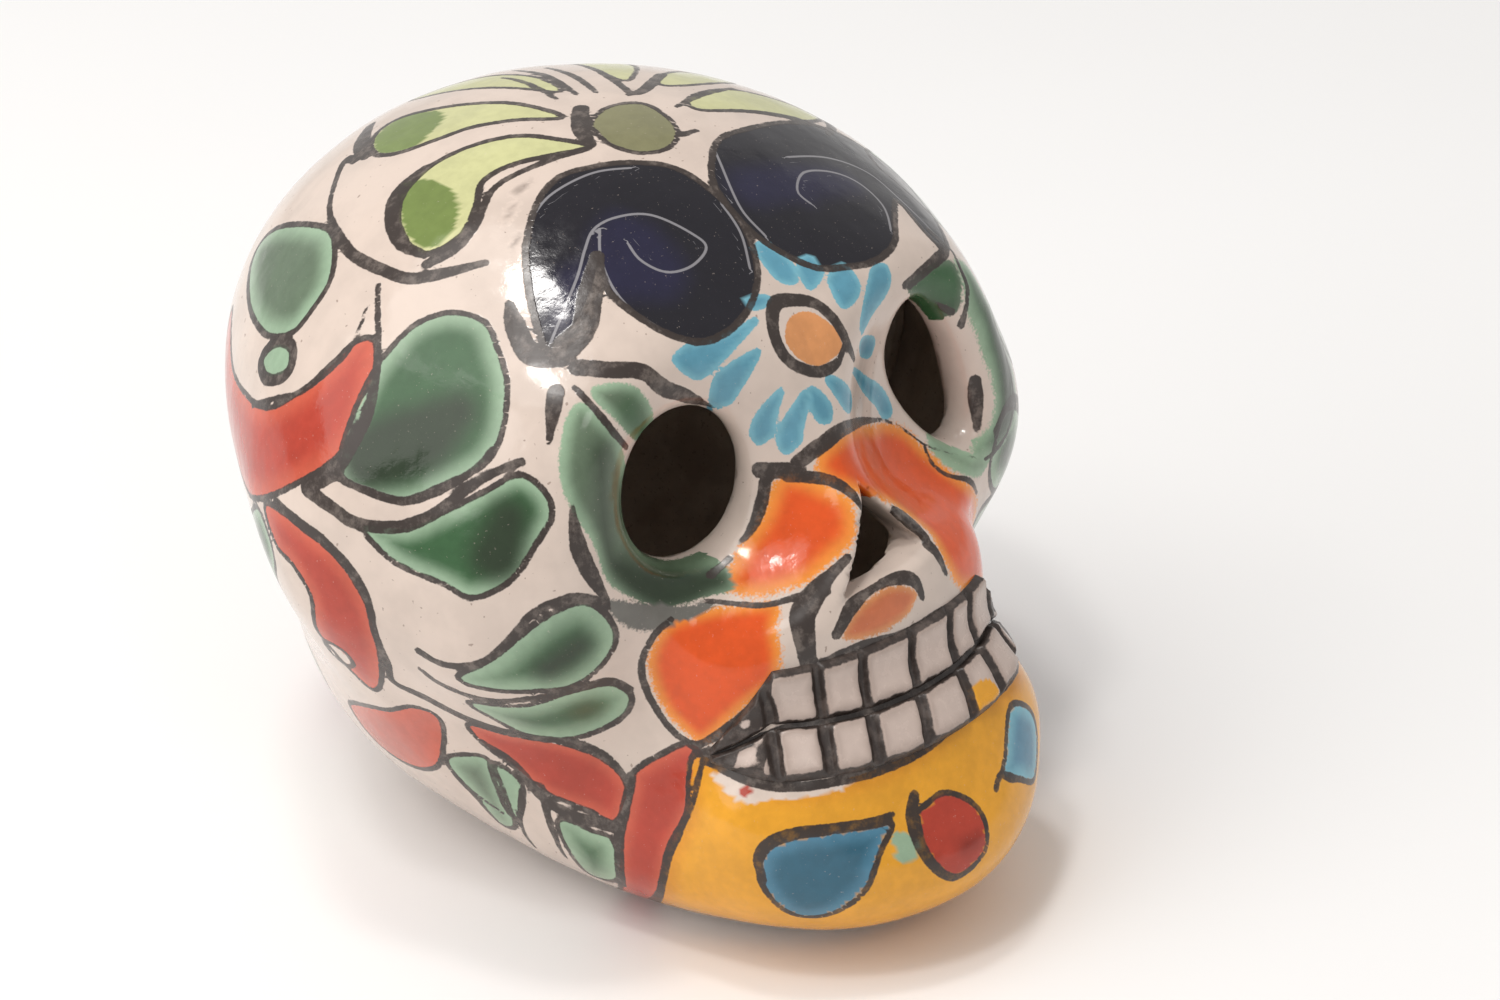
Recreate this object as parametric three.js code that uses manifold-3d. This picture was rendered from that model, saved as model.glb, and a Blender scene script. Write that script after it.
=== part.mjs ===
// A hollow glazed earthenware skull, built the way the potter builds it: two press-moulded
// halves, a floor slab, a luting coil inside the joint and two cut strips of clay teeth.
// Millimetres, +Z up, face towards -Y, the skull's own right side at -X.
import * as THREE from "three";
import { mergeVertices } from "three/addons/utils/BufferGeometryUtils.js";
import Module from "manifold-3d";

const wasm = await Module();
wasm.setup();

// ---- driving dimensions ------------------------------------------------------------------
const WALL = 5;            // pressed clay wall
const GAP = 0.3;           // clearance between neighbouring pieces
const SEAM_Y = 2;          // plane where the face half meets the cranium half
const FOOT_ROUND = 3.5;    // rounding where the sides turn under to the flat foot
const CORE = new THREE.Vector3(0, -6, 46); // point inside the skull that sees every wall

// Rounded masses blended into the outside of the skull; those off the middle come in pairs.
const CRANIUM = { centre: [0, 12, 68.5], radii: [54, 54, 41.5] };
const MASSES = [
  { centre: [0, 0, 58], radii: [60.5, 27.5, 34.5], blend: 26 },        // forehead and temples
  { centre: [0, 3.5, 28], radii: [46, 53.5, 33], blend: 19.5 },        // neck
  { centre: [0, -43, 44], radii: [26.5, 13, 21.5], blend: 15 },        // nose and upper jaw
  { centre: [23, -24, 75], radii: [17.5, 16.5, 12.5], blend: 17.5 },   // brows
  { centre: [38.5, -22, 55], radii: [15, 12.5, 14.5], blend: 15 },     // cheekbones
  { centre: [0, -30.5, 16.5], radii: [35, 42.5, 19], blend: 15 },      // lower jaw
  { centre: [0, -52, 24.5], radii: [29.5, 14, 15.5], blend: 8.5 },     // mouth
];
const SOCKET = { centre: [24, -49, 76], radii: [18.5, 16.5, 18.5], blend: 8.5 };

// Hand-cut eye openings: centre, half width, half height, lean of the top towards the nose.
const EYES = [
  { centre: [-21.4, -35, 70.8], half: [10.2, 11.2], lean: 5, outward: 12 },
  { centre: [28.6, -35, 72.1], half: [5.6, 12.3], lean: 18, outward: 12 },
];

// Three-cornered nose opening, cut level into the wall; its base climbs a little to one side.
const NOSE = {
  middleX: 2, apexZ: 66.8, baseZ: 55.9, baseSlope: 0.1, halfBase: 9.2, corner: 1.4,
  frontY: -60, backY: -34,
};

// Mouth: angles are turned about a vertical axis behind the teeth.
const MOUTH = {
  axisY: -32,
  lineZ: 39.7,             // height of the line between the two rows
  upper: 8.4,              // height of the upper row
  lower: 6.4,              // height of the lower row
  toothAngle: 15.6,        // degrees taken by one tooth
  teeth: 6,
  tipAngle: 62.4,          // where the strips are pinched off at the corners of the mouth
  tipDrop: 4.6,            // how far the corners hang below the middle
  proud: 1.5,              // height of a tooth above the face
  groove: 0.3,             // height of the clay left at the bottom of a cut
  sunk: 1.2,               // how deep a strip is pressed into the wall
  tipNarrow: 0.88,         // share of the height lost towards the pinched corners
  columns: 48,             // facets along a strip, six to a tooth
  rows: 4,
};

const FLOOR = { thickness: 5, centreY: -11, half: [21.5, 37], vent: 11, ventY: -8 };
const COIL = { radius: 2.6, lowestAngle: 118 };

// ---- the outside of the skull as a smooth field, negative inside ----------------------------
function ellipsoidField(point, { centre, radii }) {
  const x = (point.x - centre[0]) / radii[0];
  const y = (point.y - centre[1]) / radii[1];
  const z = (point.z - centre[2]) / radii[2];
  const reach = Math.hypot(x, y, z);
  const slope = Math.hypot(x / radii[0], y / radii[1], z / radii[2]);
  return (reach * (reach - 1)) / Math.max(slope, 1e-9);
}

function smoothMin(a, b, blend) {
  const h = THREE.MathUtils.clamp(0.5 + (0.5 * (b - a)) / blend, 0, 1);
  return b * (1 - h) + a * h - blend * h * (1 - h);
}

function skullField(point) {
  const half = new THREE.Vector3(Math.abs(point.x), point.y, point.z);
  let field = ellipsoidField(half, CRANIUM);
  for (const mass of MASSES) {
    field = smoothMin(field, ellipsoidField(half, mass), mass.blend);
  }
  field = -smoothMin(-field, ellipsoidField(half, SOCKET), SOCKET.blend);
  return -smoothMin(-field, point.z, FOOT_ROUND);
}

function outwardSlope(point) {
  const step = 0.05;
  const slope = new THREE.Vector3();
  for (let axis = 0; axis < 3; axis += 1) {
    const ahead = point.clone();
    const behind = point.clone();
    ahead.setComponent(axis, point.getComponent(axis) + step);
    behind.setComponent(axis, point.getComponent(axis) - step);
    slope.setComponent(axis, (skullField(ahead) - skullField(behind)) / (2 * step));
  }
  return slope;
}

// The point straight out from `origin` that lies `depth` below the outside.
function wallPoint(origin, direction, depth) {
  let near = 2;
  let far = 110;
  const point = new THREE.Vector3();
  for (let pass = 0; pass < 40; pass += 1) {
    const middle = (near + far) / 2;
    point.copy(origin).addScaledVector(direction, middle);
    const height = depth === 0
      ? skullField(point)
      : skullField(point) / outwardSlope(point).length() + depth;
    if (height < 0) near = middle;
    else far = middle;
  }
  return point;
}

// ---- solids ----------------------------------------------------------------------------------
function toSolid(geometry) {
  const bare = new THREE.BufferGeometry();
  bare.setAttribute("position", geometry.getAttribute("position"));
  bare.setIndex(geometry.getIndex());
  const welded = mergeVertices(bare, 1e-4);
  return new wasm.Manifold(new wasm.Mesh({
    numProp: 3,
    vertProperties: new Float32Array(welded.getAttribute("position").array),
    triVerts: new Uint32Array(welded.getIndex().array),
  }));
}

function toGeometry(solid) {
  const mesh = solid.getMesh();
  const geometry = new THREE.BufferGeometry();
  const position = new Float32Array(mesh.vertProperties);
  geometry.setAttribute("position", new THREE.BufferAttribute(position, 3));
  geometry.setIndex(new THREE.BufferAttribute(new Uint32Array(mesh.triVerts), 1));
  geometry.computeVertexNormals();
  return geometry;
}

function moveVertices(geometry, place) {
  const position = geometry.getAttribute("position");
  const point = new THREE.Vector3();
  for (let i = 0; i < position.count; i += 1) {
    point.fromBufferAttribute(position, i);
    const moved = place(point);
    position.setXYZ(i, moved.x, moved.y, moved.z);
  }
  return geometry;
}

// A closed skin round the core, `depth` below the outside of the skull.
function skullSkin(detail, depth) {
  const sphere = new THREE.IcosahedronGeometry(1, detail);
  return toSolid(moveVertices(sphere, (point) => {
    return wallPoint(CORE, point.clone().normalize(), depth);
  }));
}

function eyeTool({ centre, half, lean, outward }) {
  const side = Math.sign(centre[0]);
  const tool = new THREE.CylinderGeometry(1, 1, 30, 36);
  tool.scale(half[0], 1, half[1]);
  tool.rotateY(THREE.MathUtils.degToRad(-side * lean));
  tool.rotateZ(THREE.MathUtils.degToRad(side * outward));
  tool.translate(...centre);
  return toSolid(tool);
}

function noseTool() {
  const { middleX, apexZ, halfBase, corner, frontY, backY } = NOSE;
  const base = (x) => NOSE.baseZ + NOSE.baseSlope * x;
  const inset = halfBase - corner;
  const outline = new THREE.Shape();
  outline.moveTo(-inset, base(-inset));
  outline.lineTo(inset, base(inset));
  outline.quadraticCurveTo(halfBase, base(halfBase), halfBase - corner / 2, base(halfBase) + corner);
  outline.lineTo(corner, apexZ - corner);
  outline.quadraticCurveTo(0, apexZ, -corner, apexZ - corner);
  outline.lineTo(corner / 2 - halfBase, base(-halfBase) + corner);
  outline.quadraticCurveTo(-halfBase, base(-halfBase), -inset, base(-inset));
  const depth = backY - frontY;
  const tool = new THREE.ExtrudeGeometry(outline, { depth, bevelEnabled: false, curveSegments: 3 });
  tool.rotateX(Math.PI / 2);
  tool.translate(middleX, backY, 0);
  return toSolid(tool);
}

function ellipsePlate(halfX, halfY, thickness) {
  const outline = new THREE.Shape();
  outline.absellipse(0, FLOOR.centreY, halfX, halfY, 0, 2 * Math.PI);
  const options = { depth: thickness, bevelEnabled: false, curveSegments: 24 };
  return new THREE.ExtrudeGeometry(outline, options);
}

// ---- mouth -----------------------------------------------------------------------------------
function mouthPoint(angle, height, lift) {
  const origin = new THREE.Vector3(0, MOUTH.axisY, height);
  const direction = new THREE.Vector3(Math.sin(angle), -Math.cos(angle), 0);
  const point = wallPoint(origin, direction, 0);
  return point.addScaledVector(outwardSlope(point).normalize(), lift);
}

// How far towards the pinched corner an angle lies: 0 over the teeth, 1 at the tip.
function cornerShare(angle) {
  const last = THREE.MathUtils.degToRad((MOUTH.teeth / 2) * MOUTH.toothAngle);
  const tip = THREE.MathUtils.degToRad(MOUTH.tipAngle);
  return THREE.MathUtils.clamp((Math.abs(angle) - last) / (tip - last), 0, 1);
}

function toothLift(angle, across) {
  const pitch = THREE.MathUtils.degToRad(MOUTH.toothAngle);
  const along = Math.abs(((((angle / pitch) % 1) + 1) % 1) * 2 - 1);
  const pillow = (1 - along ** 6) * (1 - Math.abs(across * 2 - 1) ** 6);
  const share = cornerShare(angle);
  return MOUTH.groove + (MOUTH.proud - MOUTH.groove) * pillow * (1 - 0.5 * share);
}

// A band wrapped round the mouth. `low` and `high` are its edges off the line between the
// rows, narrowing towards the corners; `lowTrim` and `highTrim` shift those edges evenly.
function mouthBand({ low, lowTrim, high, highTrim, endTrim, bottom, lift }) {
  const reach = THREE.MathUtils.degToRad(MOUTH.tipAngle) + endTrim / 30;
  const band = new THREE.BoxGeometry(1, 1, 1, MOUTH.columns, MOUTH.rows, 1);
  return toSolid(moveVertices(band, (point) => {
    const angle = 2 * point.x * reach;
    const across = point.y + 0.5;
    const share = cornerShare(angle);
    const narrow = 1 - MOUTH.tipNarrow * share;
    const lineZ = MOUTH.lineZ - MOUTH.tipDrop * share;
    const height = lineZ
      + (low * narrow + lowTrim) * (1 - across)
      + (high * narrow + highTrim) * across;
    return mouthPoint(angle, height, point.z < 0 ? bottom : lift(angle, across));
  }));
}

function upperToothStrip() {
  return mouthBand({
    low: 0, lowTrim: GAP / 2, high: MOUTH.upper, highTrim: 0, endTrim: 0,
    bottom: -MOUTH.sunk, lift: toothLift,
  });
}

function lowerToothStrip() {
  return mouthBand({
    low: -MOUTH.lower, lowTrim: 0, high: 0, highTrim: -GAP / 2, endTrim: 0,
    bottom: -MOUTH.sunk, lift: toothLift,
  });
}

function mouthRecess() {
  return mouthBand({
    low: -MOUTH.lower, lowTrim: -GAP, high: MOUTH.upper, highTrim: GAP, endTrim: GAP,
    bottom: -MOUTH.sunk - GAP, lift: () => 4,
  });
}

// ---- seam coil -------------------------------------------------------------------------------
// A round-ended rod bent along the inside of the joint, from one side of the floor to the other.
function seamCoil() {
  const depth = WALL + COIL.radius + 2 * GAP;
  const lowest = THREE.MathUtils.degToRad(COIL.lowestAngle);
  const centre = new THREE.Vector3(0, SEAM_Y, CORE.z);
  const stops = 28;
  const path = [];
  for (let i = 0; i <= stops; i += 1) {
    const angle = lowest * ((2 * i) / stops - 1);
    path.push(wallPoint(centre, new THREE.Vector3(Math.sin(angle), 0, Math.cos(angle)), depth));
  }
  const curve = new THREE.CatmullRomCurve3(path);
  const length = curve.getLength();
  const rod = new THREE.CapsuleGeometry(COIL.radius, length, 3, 10, 56);
  return toSolid(moveVertices(rod, (point) => {
    const along = THREE.MathUtils.clamp(point.y, -length / 2, length / 2);
    const share = along / length + 0.5;
    const tangent = curve.getTangentAt(share);
    const across = tangent.clone().cross(new THREE.Vector3(0, 1, 0));
    return curve.getPointAt(share)
      .addScaledVector(tangent, point.y - along)
      .addScaledVector(across, point.x)
      .add(new THREE.Vector3(0, point.z, 0));
  }));
}

// ---- pieces ------------------------------------------------------------------------------------
function halfSpace(side) {
  const size = 300;
  const box = new THREE.BoxGeometry(size, size, size);
  box.translate(0, SEAM_Y + side * (size / 2 + GAP / 2), 0);
  return toSolid(box);
}

function floorWell() {
  const well = ellipsePlate(FLOOR.half[0] + GAP, FLOOR.half[1] + GAP, FLOOR.thickness + 4);
  well.translate(0, 0, -2);
  return toSolid(well);
}

function floorSlab() {
  const slab = toSolid(ellipsePlate(...FLOOR.half, FLOOR.thickness));
  const vent = new THREE.CylinderGeometry(FLOOR.vent, FLOOR.vent, 20, 40);
  vent.rotateX(Math.PI / 2);
  vent.translate(0, FLOOR.ventY, 0);
  return slab.subtract(toSolid(vent));
}

const hollow = skullSkin(14, 0).subtract(skullSkin(9, WALL)).subtract(floorWell());
let face = hollow.intersect(halfSpace(-1));
for (const eye of EYES) {
  face = face.subtract(eyeTool(eye));
}
face = face.subtract(noseTool()).subtract(mouthRecess());
const cranium = hollow.intersect(halfSpace(1));

const glaze = { color: 0xe6dcd0, roughness: 0.15, metalness: 0 };
const toothGlaze = { color: 0xd3cdc6, roughness: 0.2, metalness: 0 };
const bareClay = { color: 0xb06a45, roughness: 0.85, metalness: 0 };

const skull = new THREE.Group();
skull.name = "ceramic_skull";

function addPiece(name, solid, look) {
  const piece = new THREE.Mesh(toGeometry(solid), new THREE.MeshStandardMaterial(look));
  piece.name = name;
  skull.add(piece);
}

addPiece("face_shell", face, glaze);
addPiece("cranium_shell", cranium, glaze);
addPiece("floor_slab", floorSlab(), bareClay);
addPiece("seam_coil", seamCoil(), bareClay);
addPiece("upper_tooth_strip", upperToothStrip(), toothGlaze);
addPiece("lower_tooth_strip", lowerToothStrip(), toothGlaze);

// Bring the middle of the skull's length to the origin; the foot already stands on z = 0.
const middle = new THREE.Box3().setFromObject(skull).getCenter(new THREE.Vector3());
for (const piece of skull.children) {
  piece.geometry.translate(0, -middle.y, 0);
}

export default skull;
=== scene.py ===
"""Looks of a hollow majolica skull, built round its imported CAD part.

The skin, its openings and the brushwork are worked out in the part's own frame: millimetres,
+Z up, face towards -Y, the skull's own right side at -X. One shift takes them to the row frame.
Places on the skin are given as a painter would point at them from the middle of the skull:
(turn, rise) in degrees, turn counted from the face towards the skull's right, rise upwards.
"""

import math
from dataclasses import dataclass, replace

import bmesh
import bpy
import numpy as np
import openvdb
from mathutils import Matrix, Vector


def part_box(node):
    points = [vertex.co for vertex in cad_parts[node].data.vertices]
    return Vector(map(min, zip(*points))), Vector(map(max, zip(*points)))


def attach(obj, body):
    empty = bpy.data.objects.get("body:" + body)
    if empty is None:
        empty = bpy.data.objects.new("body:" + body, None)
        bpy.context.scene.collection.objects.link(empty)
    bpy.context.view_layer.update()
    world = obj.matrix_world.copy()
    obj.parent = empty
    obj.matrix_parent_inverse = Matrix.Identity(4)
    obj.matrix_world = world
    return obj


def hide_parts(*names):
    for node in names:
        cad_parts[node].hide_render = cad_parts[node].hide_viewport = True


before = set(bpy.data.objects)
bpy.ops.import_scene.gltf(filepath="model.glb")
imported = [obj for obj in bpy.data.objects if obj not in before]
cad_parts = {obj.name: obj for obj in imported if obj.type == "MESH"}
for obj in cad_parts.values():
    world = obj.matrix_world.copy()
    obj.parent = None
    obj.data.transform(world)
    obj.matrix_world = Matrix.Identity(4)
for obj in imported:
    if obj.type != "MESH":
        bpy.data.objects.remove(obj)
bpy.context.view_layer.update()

# ---- driving dimensions, millimetres and degrees ------------------------------------------------
MM = 0.001
TINY = 1e-9              # keeps divisions away from zero
WALL = 5.0               # pressed clay wall
SEAM_Y = 2.0             # plane where the face half meets the cranium half
FOOT_ROUND = 3.5         # rounding where the sides turn under to the flat foot
GAP = 0.3                # clearance between the floor slab and its well
SHRINK = 0.48            # the fired skin lies this far inside the CAD skin
UNEVEN = ((0.16, 17), (0.05, 6))  # height and width of the unevenness left by the hands
VOXEL = 1.4              # grid step of the first mesh; the outside is then split once
GRID_CORNERS = ((-67, -76, -3), (67, 70, 114))
SPLIT_DEPTH = 2.6        # the mesh is split this far down from the skin
PAINT_CENTRE = np.array([0.0, 0.0, 55.0])

# Rounded masses blended into the outside of the skull; those off the middle come in pairs.
CRANIUM = ((0, 12, 68.5), (54, 54, 41.5))
MASSES = (
    ((0, 0, 58), (60.5, 27.5, 34.5), 26),        # forehead and temples
    ((0, 3.5, 28), (46, 53.5, 33), 19.5),        # neck
    ((0, -43, 44), (26.5, 13, 21.5), 15),        # nose and upper jaw
    ((23, -24, 75), (17.5, 16.5, 12.5), 17.5),   # brows
    ((38.5, -22, 55), (15, 12.5, 14.5), 15),     # cheekbones
    ((0, -30.5, 16.5), (35, 42.5, 19), 15),      # lower jaw
    ((0, -52, 24.5), (29.5, 14, 15.5), 8.5),     # mouth
)
SOCKET = ((24, -49, 76), (18.5, 16.5, 18.5), 8.5)

# Eye openings: centre, half width and half height, lean of the top towards the nose.
EYES = (
    ((-21.4, -35, 70.8), (10.2, 11.2), 5),
    ((28.6, -35, 72.1), (5.6, 12.3), 18),
)
EYE_OUTWARD = 12         # degrees the cuts turn away from straight ahead
EYE_DEPTH = 15           # the cuts reach this far in front of and behind their centres
NOSE = {
    "middle_x": 2.0,
    "apex_z": 66.8,
    "base_z": 55.9,
    "base_slope": 0.1,   # the base climbs a little towards the skull's left
    "half_base": 9.2,
    "corner": 1.2,       # rounding of the two corners of the base
    "middle_y": -47,
    "half_depth": 13,
}
FLOOR = {"half": (21.5, 37.0), "centre_y": -11, "well_top": 9.0}
EYE_RIM = 2.6            # how softly the glaze rounds the rims of the openings
NOSE_RIM = 1.5
CLAY_EDGE = 0.6

MOUTH = {
    "axis_y": -32,       # the strips of teeth bend round an upright line here
    "radius": 28.5,      # mean distance from that line to the teeth
    "line_z": 39.7,      # height of the line between the two rows
    "upper": 8.4,
    "lower": 6.4,
    "tip": 62.4,         # degrees round to where the strips are pinched off
    "tip_drop": 4.6,
    "tip_narrow": 0.88,
    "floor": 0.3,        # height of the floor of the cuts above the face
    "proud": 1.45,       # height of a tooth above the face
    "sunk": 0.9,         # how deep the back of a strip lies in the wall
    "edge": 0.5,         # how deep the rim of a strip's face dips into the wall
    "line_gap": 0.15,    # from the line between the rows to the edge of a row
}
CUT_ROUGH = ((0.22, 2.2), (0.1, 0.9))  # height and width of the waver of the knife cuts
PILLOW = (0.25, 1.25)    # a tooth swells between these distances from its nearest cut
CUT_INK = 0.95           # black pigment reaches this far from the middle of a cut
TOOTH_COLUMNS = 261      # points along a strip of teeth
TOOTH_ROWS = 21          # points across it
# Knife cuts between the teeth: degrees round, and degrees of slant for each millimetre up.
CUTS = ((-46.5, -0.4), (-32.5, -0.15), (-18.5, 0.1), (-0.5, 0.6), (18, 0.8), (31.5, 0.6),
        (46.5, 0.4))


# ---- colours ------------------------------------------------------------------------------------
def linear(rgb):
    share = np.asarray(rgb, float) / 255
    return np.where(share <= 0.04045, share / 12.92, ((share + 0.055) / 1.055) ** 2.4)


CREAM = linear((217, 200, 188))
LINE = linear((54, 45, 41))
HAIR = linear((150, 148, 152))
MINT = linear((150, 176, 148))
EMERALD = linear((58, 94, 60))
PINE = linear((44, 58, 40))
MOSS = linear((66, 82, 48))
SAGE = linear((96, 114, 92))
LIME = linear((198, 198, 146))
# grey of the shade painted in a band under the near eye
UNDER_EYE_SHADE = linear((108, 106, 100))
SMUDGE = linear((128, 114, 106))
OLIVE = linear((114, 132, 70))
AVOCADO = linear((126, 124, 90))
COBALT = linear((32, 30, 56))
INK = linear((26, 24, 32))
SKY = linear((92, 152, 174))
SKY_PALE = linear((120, 180, 196))
POND = linear((48, 98, 120))
POND_PALE = linear((80, 132, 158))
ORANGE = linear((222, 84, 26))
AMBER = linear((240, 150, 60))
BRICK = linear((178, 62, 44))
RUST = linear((200, 90, 66))
WINE = linear((112, 34, 24))
CLAY_RED = linear((204, 112, 70))
ROSE = linear((190, 92, 74))
YELLOW = linear((228, 160, 42))
HONEY = linear((218, 144, 36))
PEACH = linear((216, 148, 94))
TOOTH = linear((170, 152, 142))
TOOTH_LIT = linear((200, 182, 172))
CLAY_LIGHT = linear((224, 208, 192))
CLAY_DARK = linear((204, 186, 170))
CLAY_GRIT = linear((160, 140, 122))
SPECK = linear((120, 96, 82))
FLOOR_LIGHT = linear((250, 250, 250))
FLOOR_DARK = linear((246, 246, 246))


# ---- the outside of the skull as a smooth field, negative inside --------------------------------
def ellipsoid_field(points, centre, radii):
    offset = (points - centre) / radii
    reach = np.linalg.norm(offset, axis=1)
    slope = np.linalg.norm(offset / radii, axis=1)
    return reach * (reach - 1) / np.maximum(slope, TINY)


def smooth_min(a, b, blend):
    share = np.clip(0.5 + 0.5 * (b - a) / blend, 0, 1)
    return b * (1 - share) + a * share - blend * share * (1 - share)


def smooth_max(a, b, blend):
    return -smooth_min(-a, -b, blend)


def smooth_step(low, high, value):
    share = np.clip((value - low) / (high - low), 0, 1)
    return share * share * (3 - 2 * share)


def jitter(points, size):
    """Wandering values from -1 to 1 that change over about `size` millimetres."""
    x, y, z = (points / size).T
    first = np.sin(1.7 * x + 0.9 * y + 1.3) * np.sin(1.9 * y - 1.1 * z + 0.4)
    second = np.sin(2.3 * z + 1.2 * x - 0.7) * np.sin(2.9 * x - 2.1 * y + 2.1)
    return 0.6 * first + 0.4 * second


def skin_field(points):
    half = points.copy()
    half[:, 0] = np.abs(half[:, 0])
    field = ellipsoid_field(half, *CRANIUM)
    for centre, radii, blend in MASSES:
        field = smooth_min(field, ellipsoid_field(half, centre, radii), blend)
    centre, radii, blend = SOCKET
    field = smooth_max(field, -ellipsoid_field(half, centre, radii), blend)
    field += sum((height * jitter(points, width) for height, width in UNEVEN), SHRINK)
    return smooth_max(field, -points[:, 2], FOOT_ROUND)


def eye_field(points, centre, half, lean):
    side = math.copysign(1, centre[0])
    outward = math.radians(-side * EYE_OUTWARD)
    x, y, z = (points - centre).T
    across = x * math.cos(outward) - y * math.sin(outward)
    inward = x * math.sin(outward) + y * math.cos(outward)
    tilt = math.radians(side * lean)
    level = across * math.cos(tilt) + z * math.sin(tilt)
    height = z * math.cos(tilt) - across * math.sin(tilt)
    reach = np.hypot(level / half[0], height / half[1])
    slope = np.hypot(level / half[0] ** 2, height / half[1] ** 2)
    ring = reach * (reach - 1) / np.maximum(slope, TINY)
    return np.maximum(ring, np.abs(inward) - EYE_DEPTH)


def nose_field(points):
    x, y, z = points.T
    rise = NOSE["apex_z"] - NOSE["base_z"]
    length = math.hypot(rise, NOSE["half_base"])
    across = np.abs(x - NOSE["middle_x"])
    side = (across * rise + (z - NOSE["apex_z"]) * NOSE["half_base"]) / length
    base = NOSE["base_z"] + NOSE["base_slope"] * (x - NOSE["middle_x"])
    prism = smooth_max(side, base - z, NOSE["corner"])
    return np.maximum(prism, np.abs(y - NOSE["middle_y"]) - NOSE["half_depth"])


def well_field(points):
    x, y, z = points.T
    half_x, half_y = (size + GAP for size in FLOOR["half"])
    reach = np.hypot(x / half_x, (y - FLOOR["centre_y"]) / half_y)
    return np.maximum((reach - 1) * half_x, z - FLOOR["well_top"])


def shell_field(points):
    skin = skin_field(points)
    field = smooth_max(skin, -(skin + WALL), CLAY_EDGE)
    for eye in EYES:
        field = smooth_max(field, -eye_field(points, *eye), EYE_RIM)
    field = smooth_max(field, -nose_field(points), NOSE_RIM)
    return smooth_max(field, -well_field(points), CLAY_EDGE)


def slope_of(field, points, step=0.05):
    slope = np.empty_like(points)
    for axis in range(3):
        ahead = points.copy()
        behind = points.copy()
        ahead[:, axis] += step
        behind[:, axis] -= step
        slope[:, axis] = (field(ahead) - field(behind)) / (2 * step)
    return slope


def unit(vectors):
    return vectors / np.maximum(np.linalg.norm(vectors, axis=-1, keepdims=True), TINY)


def settle(points, field, passes=2, limit=0.8):
    """Moves points straight onto the field's surface, never further than `limit` at a time."""
    for _ in range(passes):
        slope = slope_of(field, points)
        steep = np.maximum((slope ** 2).sum(1), 0.2)
        move = -slope * (field(points) / steep)[:, None]
        length = np.maximum(np.linalg.norm(move, axis=1, keepdims=True), TINY)
        points = points + move * np.minimum(1, limit / length)
    return points


def cast(origins, directions, far=115.0, passes=26):
    """Where rays from inside the skull come out through its skin."""
    near = np.full(len(directions), 2.0)
    far = np.full(len(directions), far)
    for _ in range(passes):
        middle = (near + far) / 2
        inside = skin_field(origins + directions * middle[:, None]) < 0
        near = np.where(inside, middle, near)
        far = np.where(inside, far, middle)
    return origins + directions * near[:, None]


# ---- meshes -------------------------------------------------------------------------------------
# Part millimetres to row metres: the seam lies midway between the two CAD halves.
seam_row = (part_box("face_shell")[1].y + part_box("cranium_shell")[0].y) / 2
TO_ROW = np.array([0.0, seam_row - SEAM_Y * MM, 0.0])


def polygonise(field, low, high, step):
    axes = [np.arange(a, b + step, step) for a, b in zip(low, high)]
    grid = np.stack(np.meshgrid(*axes, indexing="ij"), -1)
    values = field(grid.reshape(-1, 3)).reshape(grid.shape[:3])
    volume = openvdb.FloatGrid(3 * step)
    volume.copyFromArray(values.astype(np.float32))
    points, quads = volume.convertToQuads(isovalue=0.0)
    return np.asarray(low) + points.astype(float) * step, quads


def coordinates(mesh):
    flat = np.empty(len(mesh.vertices) * 3)
    mesh.vertices.foreach_get("co", flat)
    return flat.reshape(-1, 3)


def shell_mesh():
    """The whole hollow shell, finer on the outside where the paint lies."""
    points, quads = polygonise(shell_field, *GRID_CORNERS, VOXEL)
    mesh = bpy.data.meshes.new("shell")
    mesh.from_pydata(points.tolist(), [], quads.tolist())
    outside = -skin_field(points) < SPLIT_DEPTH
    work = bmesh.new()
    work.from_mesh(mesh)
    work.verts.ensure_lookup_table()
    edges = [e for e in work.edges if outside[e.verts[0].index] and outside[e.verts[1].index]]
    bmesh.ops.subdivide_edges(work, edges=edges, cuts=1, use_grid_fill=True)
    work.to_mesh(mesh)
    work.free()
    settled = settle(coordinates(mesh), shell_field)
    mesh.vertices.foreach_set("co", settled.ravel())
    return mesh


def half_shell(source, name, side):
    """The part of the shell on one side of the seam, closed with a flat joint face."""
    work = bmesh.new()
    work.from_mesh(source)
    everything = work.verts[:] + work.edges[:] + work.faces[:]
    cut = bmesh.ops.bisect_plane(work, geom=everything, dist=1e-5, plane_co=(0, SEAM_Y, 0),
                                 plane_no=(0, side, 0), clear_inner=True)
    rim = [part for part in cut["geom_cut"] if isinstance(part, bmesh.types.BMEdge)]
    bmesh.ops.triangle_fill(work, edges=rim, use_beauty=True, normal=(0, -side, 0))
    mesh = bpy.data.meshes.new(name)
    work.to_mesh(mesh)
    work.free()
    return mesh


def corner_indices(mesh):
    indices = np.empty(len(mesh.loops), np.int32)
    mesh.loops.foreach_get("vertex_index", indices)
    return indices


def shade_smooth(mesh, normals, joint_side=0):
    """Gives each corner the true normal of the skin; the joint face keeps its flat one."""
    corners = corner_indices(mesh)
    corner_normals = normals[corners]
    if joint_side:
        on_joint = np.abs(coordinates(mesh)[:, 1] - SEAM_Y) < 1e-3
        for face in mesh.polygons:
            span = slice(face.loop_start, face.loop_start + face.loop_total)
            if on_joint[corners[span]].all():
                corner_normals[span] = (0, -joint_side, 0)
    mesh.polygons.foreach_set("use_smooth", np.ones(len(mesh.polygons), bool))
    mesh.normals_split_custom_set(corner_normals.tolist())


def to_row(mesh):
    mesh.vertices.foreach_set("co", (coordinates(mesh) * MM + TO_ROW).ravel())
    mesh.update()


def new_object(name, data):
    made = bpy.data.objects.new(name, data)
    bpy.context.scene.collection.objects.link(made)
    return made


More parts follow.
